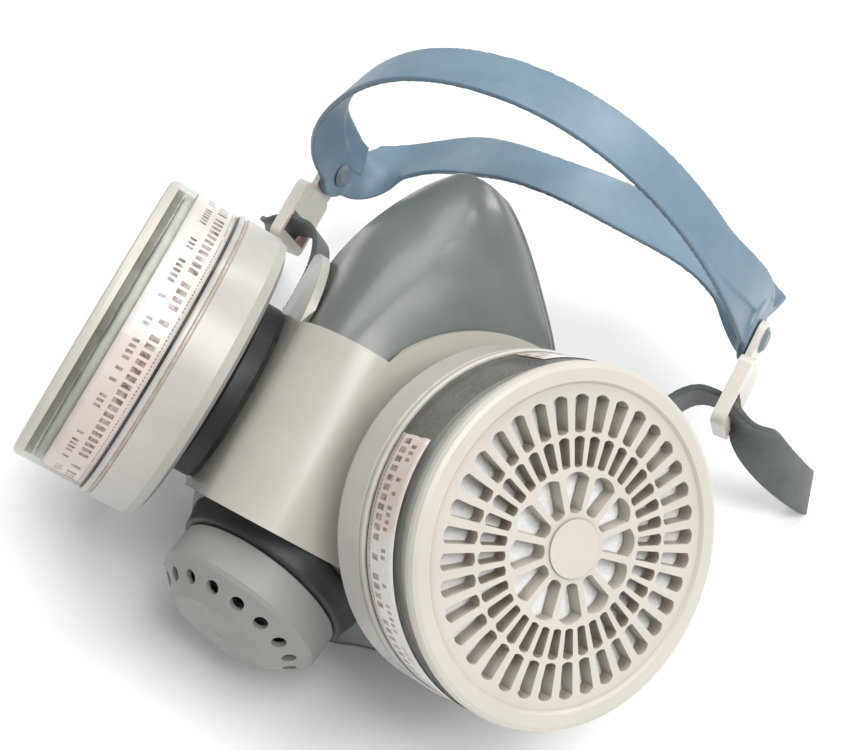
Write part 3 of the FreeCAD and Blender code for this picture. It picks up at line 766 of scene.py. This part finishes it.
def cartridge_parts(name, side):
    body = "cartridge_" + name
    tag = "_" + name
    softened("cartridge_base" + tag, 0.5, cartridge_body(side), 30)
    softened("cartridge_window" + tag, 0.3, CLEAR)
    softened("front_grille" + tag, 0.18, GRILLE, 40, 1)
    piece("label_band" + tag, label_band(side), body, LABEL, "label_film",
          "cartridge_label" + tag)
    pad = piece("filter_pad" + tag, pad_disc(side), body, PAD, "filter_pad",
                "prefilter_pad" + tag)
    piece("charcoal" + tag, charcoal_grains(side), body, CHARCOAL, "charcoal",
          "charcoal_bed" + tag)
    for node in ("pad_screen", "rear_screen"):
        paint(NODES[node + tag], SCREEN)
    paint(NODES["inhalation_flap" + tag], FLAP)
    softened("inhalation_seat" + tag, 0.3, YOKE)
    softened("port_gasket" + tag, 0.8, BLACK)
    paint(NODES["sealing_washer" + tag], BLACK)


# ---- harness ----------------------------------------------------------------------------
def harness_parts(name):
    tag = "_" + name
    piece("side_strap" + tag, cast("strap" + tag, 0.45, 3), "strap" + tag, STRAP, "strap_rubber",
          "strap" + tag)
    softened("buckle" + tag, 0.6, BUCKLE)
    softened("snap_stud" + tag, 0.3, STUD)
    softened("strap_anchor" + tag, 0.3, STUD)


# ---- stage ------------------------------------------------------------------------------
FLOOR_HALF = 6.0
# name: where it stands, the height in metres that it points at, its size and its power
LIGHTS = {"key": ((0.75, -0.15, 1.15), 0.05, (0.7, 0.9), 15),
          "top": ((-0.25, 0.35, 1.35), 0.05, (1.0, 0.8), 9),
          "strip": ((0.25, 0.9, 0.75), 0.08, (0.12, 0.9), 3.5),
          "front": ((0.3, -1.4, 0.7), 0.05, (1.0, 0.5), 2.5)}
SKY, SKY_POWER = (0.93, 0.95, 1.0, 1), 0.42


def area_light(name, place, aim_height, size, power):
    """Soft panel that points at the part's middle."""
    light = bpy.data.lights.new(name, "AREA")
    light.shape = "RECTANGLE"
    light.size, light.size_y = size
    light.energy = power
    obj = bpy.data.objects.new(name, light)
    bpy.context.scene.collection.objects.link(obj)
    obj.location = place
    aim = Vector((0, 0, aim_height)) - Vector(place)
    obj.rotation_euler = aim.to_track_quat("-Z", "Y").to_euler()


def stage():
    """Pale floor, studio panels and an even sky."""
    mesh = bpy.data.meshes.new("floor")
    mesh.from_pydata([(x * FLOOR_HALF, y * FLOOR_HALF, 0)
                      for x, y in ((-1, -1), (1, -1), (1, 1), (-1, 1))], [], [(0, 1, 2, 3)])
    floor = bpy.data.objects.new("floor", mesh)
    bpy.context.scene.collection.objects.link(floor)
    mesh.materials.append(floor_paint())
    for name, setting in LIGHTS.items():
        area_light(name, *setting)
    world = bpy.data.worlds.new("studio")
    world.use_nodes = True
    sky = world.node_tree.nodes["Background"]
    sky.inputs["Color"].default_value = SKY
    sky.inputs["Strength"].default_value = SKY_POWER
    bpy.context.scene.world = world
    bpy.context.scene.view_settings.view_transform = "Standard"


EYE = Vector((149.1, -295.1, -29.4))          # camera in the worn frame, in mm
EYE_AHEAD = Vector((-0.387, 0.596, -0.7035))  # its view and its right hand, in the row frame
EYE_RIGHT = Vector((0.840, 0.542, -0.003))
LENS, SENSOR = 52.0, 36.0


def camera():
    """Three-quarter view from the front left and above."""
    data = bpy.data.cameras.new("camera")
    data.sensor_width = SENSOR
    data.lens = LENS
    data.clip_start = 0.01
    obj = bpy.data.objects.new("camera", data)
    bpy.context.scene.collection.objects.link(obj)
    obj.matrix_world = axes_matrix(WORN @ EYE, -EYE_AHEAD, EYE_RIGHT)
    bpy.context.scene.camera = obj


face_parts()
valve_parts()
for label, way in SIDES.items():
    cartridge_parts(label, way)
    harness_parts(label)
piece("head_cradle_moulding", cast("head_cradle", 0.5, 3), "cradle", BLUE, "cradle_blue",
      "head_cradle")
stage()
camera()
